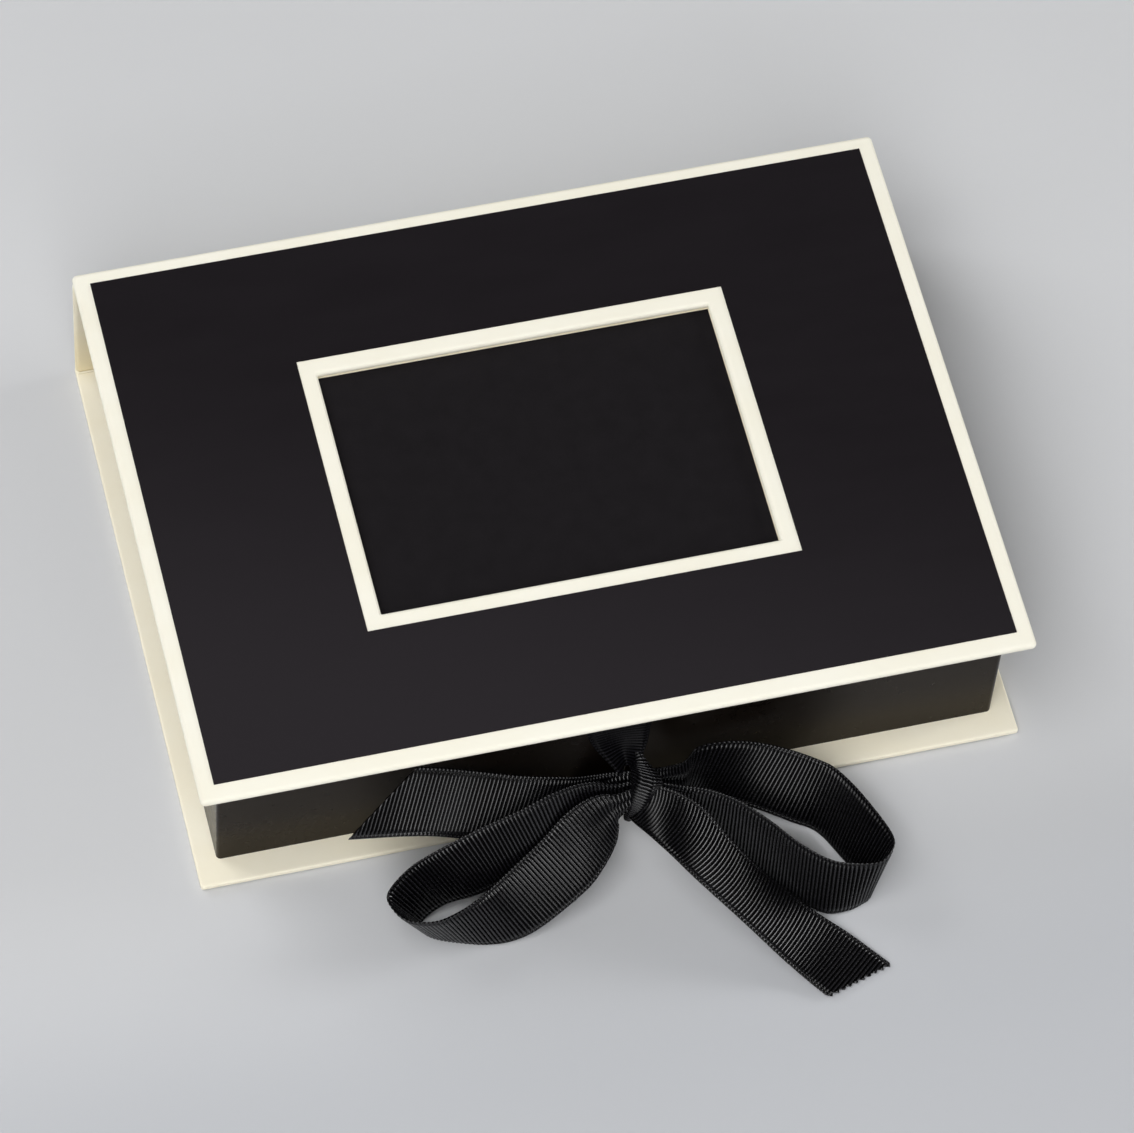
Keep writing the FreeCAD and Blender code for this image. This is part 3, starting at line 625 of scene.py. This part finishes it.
def ribbon(name, ribs, cut=None, curled=0.0, pleat=(1.1 * MM, 2.5), lead=0.0, columns=17, finish=grosgrain):
    """A ribbon through ribs (upper and lower end in mm), with cut(w) metres trimmed off its far end.

    A point lies at the middle of its rib plus w times half the rib, with w from -1 to 1, and stands off the
    cloth's own plane by BODY plus CREST times the sine's size, one arch per cord. In the selvedge the arch
    is the cosine's, so that the beads sit between the cords. A narrowed rib is pleated:
    pleat gives the depth at full slack and how many half waves lie between the middle and an edge.
    The cords' middles lead their ends by the distance lead at the start of the run, and not at its end.
    A curled ribbon bends its rib into an arc about a line behind it, as wide as the rib and as long
    as the share curled of the ribbon's width, but no further round than CURL_LIMIT to each side.
    """
    edges = smooth_line(np.array(ribs, float).reshape(len(ribs), 6)) * MM
    edges[:, [1, 4]] += FRONT_EDGE
    middle = (edges[:, :3] + edges[:, 3:]) / 2
    run = np.concatenate([[0], np.cumsum(np.linalg.norm(np.diff(middle, axis=0), axis=1))])
    length = run[-1]
    cords = round(length / CORD)
    rows = np.append((np.arange(cords)[:, None] + CORD_STEPS).ravel(), cords) * length / cords
    border = 1 - SELVEDGE * np.array([0, 0.25, 0.5, 0.75, 1])
    w = np.concatenate([-border, np.linspace(-1, 1, columns) * CORD_END, border[::-1]])
    s, w = np.meshgrid(rows, w, indexing="ij")
    if cut is not None:
        s = np.minimum(s, length - cut(w))
    place = s + lead * (1 - w ** 2) * (1 - s / length)
    heading = np.gradient(middle, run, axis=0)
    ends = read_off(edges, run, place)
    upper, lower = ends[..., :3], ends[..., 3:]
    half = (lower - upper) / 2
    width = np.linalg.norm(half, axis=-1, keepdims=True) * 2
    normal = np.cross(read_off(heading, run, place), half)
    normal /= np.linalg.norm(normal, axis=-1, keepdims=True)
    s, w = s[..., None], w[..., None]
    slack = np.clip(1 - width / RIBBON_WIDTH, 0, 1)
    fold = pleat[0] * slack * np.cos(pleat[1] * math.pi * w)
    lie = (upper + lower) / 2 + half * w + normal * fold
    if curled:
        turn = w * np.minimum(curled * RIBBON_WIDTH / width, CURL_LIMIT)
        across = half * 2 / width
        out = across * np.sin(turn) + normal * np.cos(turn)
        reach = 0.5 + CURL_CREASE * np.cos(CURL_CREASES * math.pi * w)
        lie = (upper + lower) / 2 - normal * width / 2 + out * width * reach
        normal = out
    beat = math.pi * s * cords / length
    edge = np.clip((np.abs(w) - 1) / SELVEDGE + 1, 0, 1)
    arch = np.where(edge > 0, BEAD * np.sin(math.pi * edge) * np.abs(np.cos(beat)), np.abs(np.sin(beat)))
    swell = normal * (BODY + CREST * arch)
    rings = np.concatenate([lie + swell, (lie - swell)[:, ::-1]], axis=1)
    flat = np.concatenate([s * cords * CORD / length, w * RIBBON_WIDTH / 2], axis=-1)
    flat = np.concatenate([flat, flat[:, ::-1]], axis=1)
    piece = skin(name, rings, finish, flat=flat)
    piece["length"] = float(length)
    return piece


# %% [markdown]
# ## The bow
# The two loops stand on the table on their lower edge, the right tail hangs down and lies on it, and the
# left tail leans against the tray behind the left loop. The ribs follow the picture: heights above
# the table, and distances in front of (negative) or behind the front edge of the base, in millimetres.

# %% The bow's loops and tails
LEFT_LOOP = [
    ((7, -4, 27), (7, -5, 20.5)), ((-2.1, -4.5, 27.5), (-2.1, -6.5, 19)),
    ((-11, -4.5, 32), (-8.5, -9.5, 18.5)),
    ((-21.5, -7, 35), (-17, -15, 17)), ((-34.5, -10.5, 33.5), (-27.5, -20, 15)),
    ((-47.5, -12.5, 30.5), (-39.5, -23, 13)), ((-60.5, -14.5, 26), (-49.5, -24, 9.5)),
    ((-70.5, -17, 22.5), (-60, -22.5, 4)), ((-78.5, -22.5, 20), (-67.5, -25, 1)),
    ((-79, -28, 20.5), (-68, -29, 1.5)), ((-75, -34, 21), (-65, -32, 1)),
    ((-67, -36.5, 21.5), (-58, -35, 1)), ((-58.5, -34, 20.5), (-49.5, -37.5, 1)),
    ((-51, -30, 19.5), (-41, -38, 1.5)), ((-43.5, -25, 19), (-32, -36.5, 4.5)),
    ((-29, -17, 23.5), (-17, -30.5, 11)), ((-21.5, -13, 28.5), (-10, -25, 14)),
    ((-14.5, -9.5, 29.5), (-5, -19, 15.5)), ((-8, -7.7, 28.5), (-3.2, -15, 18)),
    ((-2.3, -7.5, 26.5), (-2.1, -11.7, 18.5)), ((7, -5.5, 26), (7, -7.5, 19.5)),
]
RIGHT_LOOP = [
    ((5, -2.2, 27.3), (4, -4.3, 19.5)), ((9.7, -2, 27.5), (7.3, -4.5, 19)),
    ((20.5, -0.5, 25.5), (20, -3.5, 10.5)),
    ((27.5, 4.5, 24.5), (22.5, -1.5, 6)), ((40.5, 5, 22), (29.5, -3.5, 5)),
    ((53, 2.5, 18), (40, -8.5, 4.5)), ((64.5, -4, 16.5), (53, -16, 2)),
    ((69.5, -10, 17.5), (60.5, -21, 1)), ((74.5, -22, 19.5), (65.5, -31.5, 1.5)),
    ((79, -36.5, 20.5), (70, -42, 1.5)), ((77, -42.5, 21.5), (70, -47, 1)),
    ((72, -46, 22.5), (68, -48.5, 1)), ((64.5, -45, 22.5), (62.5, -50, 1)),
    ((57.5, -41.5, 21.5), (55, -49, 1)), ((49.5, -34, 22), (47, -42, 1.5)),
    ((42.5, -25, 23), (39.5, -33, 2.5)), ((34.5, -17, 24.5), (32, -24.5, 4)),
    ((26.5, -11.5, 25), (23, -16, 8)), ((19, -7.5, 23.5), (16.5, -9.5, 13)),
    ((9.7, -5.8, 26.5), (7.2, -8, 18)), ((5, -5, 26.3), (4, -7, 18.6)),
]
LEFT_TAIL = [
    ((7, -1.5, 27.5), (7, -2.5, 20.5)), ((-2, -0.5, 28), (-2.1, -2.5, 20)),
    ((-12.5, -0.5, 29), (-17, -10, 14.5)),
    ((-19, 0.5, 29.5), (-27.5, -12.5, 14)), ((-31, 3, 30.5), (-40.5, -12, 17.5)),
    ((-43, 6, 32.5), (-52.5, -9.5, 20.5)), ((-56, 7.3, 37.5), (-65.5, -8.5, 25.5)),
    ((-78, 8, 45.5), (-87, -4, 23.5)),
]
RIGHT_TAIL = [
    ((6, -4.5, 27.5), (1.5, -6.5, 17)), ((8, -6.5, 27.5), (1.5, -10.3, 14.5)),
    ((16, -11, 27), (5, -22, 21.5)),
    ((23, -17.5, 25), (9, -32, 25.5)), ((29.5, -27, 19.5), (14.5, -41.5, 25)),
    ((39.5, -38, 11.5), (26, -54, 17)), ((51, -49, 5), (36.5, -65, 8.5)),
    ((61, -58.5, 2.1), (44.5, -73, 2.8)), ((71.5, -71.5, 0.9), (54.4, -85.3, 0.9)),
]
SLANT = 15 * MM  # cut off the left tail's upper edge
PINKED_SLANT = 9 * MM  # cut off the right tail's lower edge
PINKED_TEETH = 10
PINKED_DEPTH = 1.4 * MM


def slanted(w):
    """The left tail's straight cut: nothing off its lower edge, and SLANT off its upper one."""
    return SLANT * (1 - w) / 2


def pinked(w):
    """The right tail's cut with pinking shears: a slant with a row of teeth, each a fall and a rise."""
    return PINKED_SLANT * (1 + w) / 2 + PINKED_DEPTH * np.abs((w * PINKED_TEETH / 2) % 1 - 0.5) * 2


loop_left = ribbon("ribbon_loop_left", LEFT_LOOP, pleat=(0.7 * MM, 2.5))
loop_right = ribbon("ribbon_loop_right", RIGHT_LOOP)
tail_left = ribbon("ribbon_tail_left", LEFT_TAIL, cut=slanted)
tail_right = ribbon("ribbon_tail_right", RIGHT_TAIL, cut=pinked, pleat=(0.3 * MM, 1.0), lead=2.4 * MM,
                    columns=33)
for piece, node in ((loop_left, "bow_loop_left"), (loop_right, "bow_loop_right"),
                    (tail_left, "bow_tail_left"), (tail_right, "bow_tail_right")):
    dress(piece, "case", "ribbon", node)
    print(piece.name, "is", round(piece["length"] / MM), "mm long")

# %% [markdown]
# The knot is a turn of the same ribbon, drawn tight over the ends of loops and tails, so it is narrow and
# curled round them, and only its front is made. Behind it end the two strands, one from the lid and one
# from the base: full width where they are glued, and gathered where they meet the knot.

# %% Strands and knot
KNOT_WRAP = [
    ((5, 1.5, 36.5), (6, 1.5, 36.5)), ((4.6, -3, 37.5), (7.2, -3, 37)),
    ((4.6, -7, 34.5), (12.8, -8, 29.5)), ((3.4, -10, 28.8), (11, -10, 26.5)),
    ((2, -11, 20.9), (7, -11, 20)), ((0.6, -9.5, 11.2), (2.4, -9.5, 11.2)),
]
LID_STRAND = [
    ((-11.5, 3.4, 53.1), (10.4, 3.4, 53.1)), ((-10.3, 3.2, 46.8), (9.6, 3, 47.2)),
    ((-8, 2.4, 40.5), (8.8, 2, 41)), ((-4.2, 0.6, 34.6), (7, 0.2, 36.6)), ((-0.5, -2, 30), (5, -2, 31)),
]
BASE_STRAND = [
    ((-11, 8.2, 3.6), (11, 8.2, 3.6)), ((-9.9, 3.9, 5.8), (11, 3.9, 5.8)),
    ((-1.1, -6, 11), (3.9, -6, 11)),
]
knot = ribbon("ribbon_knot", KNOT_WRAP, curled=0.9)
# The strand on the lid takes the less glossy copy of the finish, painted shade under the lid.
strand_lid = ribbon("ribbon_strand_lid", LID_STRAND, pleat=(-3 * MM, 1.0), finish=shaded_grosgrain)
strand_base = ribbon("ribbon_strand_base", BASE_STRAND)
for piece, node, body in ((knot, "bow_knot", "case"), (strand_base, "base_ribbon", "case"),
                          (strand_lid, "lid_ribbon", "lid")):
    dress(piece, body, "ribbon", node)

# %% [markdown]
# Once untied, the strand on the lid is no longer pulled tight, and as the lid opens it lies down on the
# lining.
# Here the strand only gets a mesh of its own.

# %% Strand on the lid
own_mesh(strand_lid)
